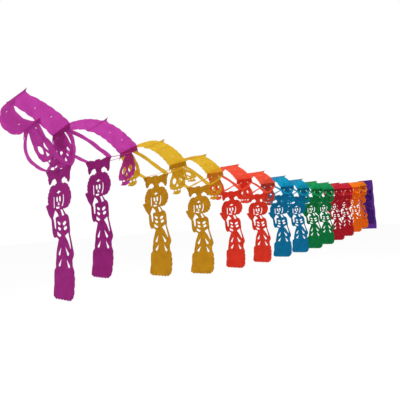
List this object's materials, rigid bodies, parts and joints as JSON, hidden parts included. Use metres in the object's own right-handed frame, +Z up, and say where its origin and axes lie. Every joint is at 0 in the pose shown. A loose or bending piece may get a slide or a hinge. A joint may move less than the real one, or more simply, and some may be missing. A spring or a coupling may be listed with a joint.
{
  "type": "papel picado garland",
  "caption": "Hanging accordion garland of die-cut tissue leaves: scalloped ribbons open into diamonds, with skulls at the glue lines and a hatted skeleton lady below each peak",
  "frame": {"origin": "the middle of the first pair of leaves' top fold, where the near end is held", "axes": "+X along the garland from the near end to the far end, +Z up, +Y across the leaves"},
  "size_m": [2.9501, 0.118, 0.457],
  "materials": {
    "magenta_tissue": "thin see-through dyed tissue, matt, faintly crinkled",
    "yellow_tissue": "thin see-through dyed tissue, matt, faintly crinkled",
    "red_tissue": "thin see-through dyed tissue, matt, faintly crinkled",
    "blue_tissue": "thin see-through dyed tissue, matt, faintly crinkled",
    "green_tissue": "thin see-through dyed tissue, matt, faintly crinkled",
    "crimson_tissue": "thin see-through dyed tissue, matt, faintly crinkled",
    "orange_tissue": "thin see-through dyed tissue, matt, faintly crinkled",
    "purple_tissue": "thin see-through dyed tissue, matt, faintly crinkled"
  },
  "bodies": {
    "root": {"magenta_1_leaf_a": "magenta_tissue", "magenta_1_leaf_b": "magenta_tissue", "magenta_2_leaf_a": "magenta_tissue", "magenta_2_leaf_b": "magenta_tissue", "yellow_1_leaf_a": "yellow_tissue", "yellow_1_leaf_b": "yellow_tissue", "yellow_2_leaf_a": "yellow_tissue", "yellow_2_leaf_b": "yellow_tissue", "red_1_leaf_a": "red_tissue", "red_1_leaf_b": "red_tissue", "red_2_leaf_a": "red_tissue", "red_2_leaf_b": "red_tissue", "blue_1_leaf_a": "blue_tissue", "blue_1_leaf_b": "blue_tissue", "blue_2_leaf_a": "blue_tissue", "blue_2_leaf_b": "blue_tissue", "green_1_leaf_a": "green_tissue", "green_1_leaf_b": "green_tissue", "green_2_leaf_a": "green_tissue", "green_2_leaf_b": "green_tissue", "crimson_1_leaf_a": "crimson_tissue", "crimson_1_leaf_b": "crimson_tissue", "crimson_2_leaf_a": "crimson_tissue", "crimson_2_leaf_b": "crimson_tissue", "orange_1_leaf_a": "orange_tissue", "orange_1_leaf_b": "orange_tissue", "orange_2_leaf_a": "orange_tissue", "orange_2_leaf_b": "orange_tissue", "purple_1_leaf_a": "purple_tissue", "purple_1_leaf_b": "purple_tissue"}
  },
  "joints": []
}
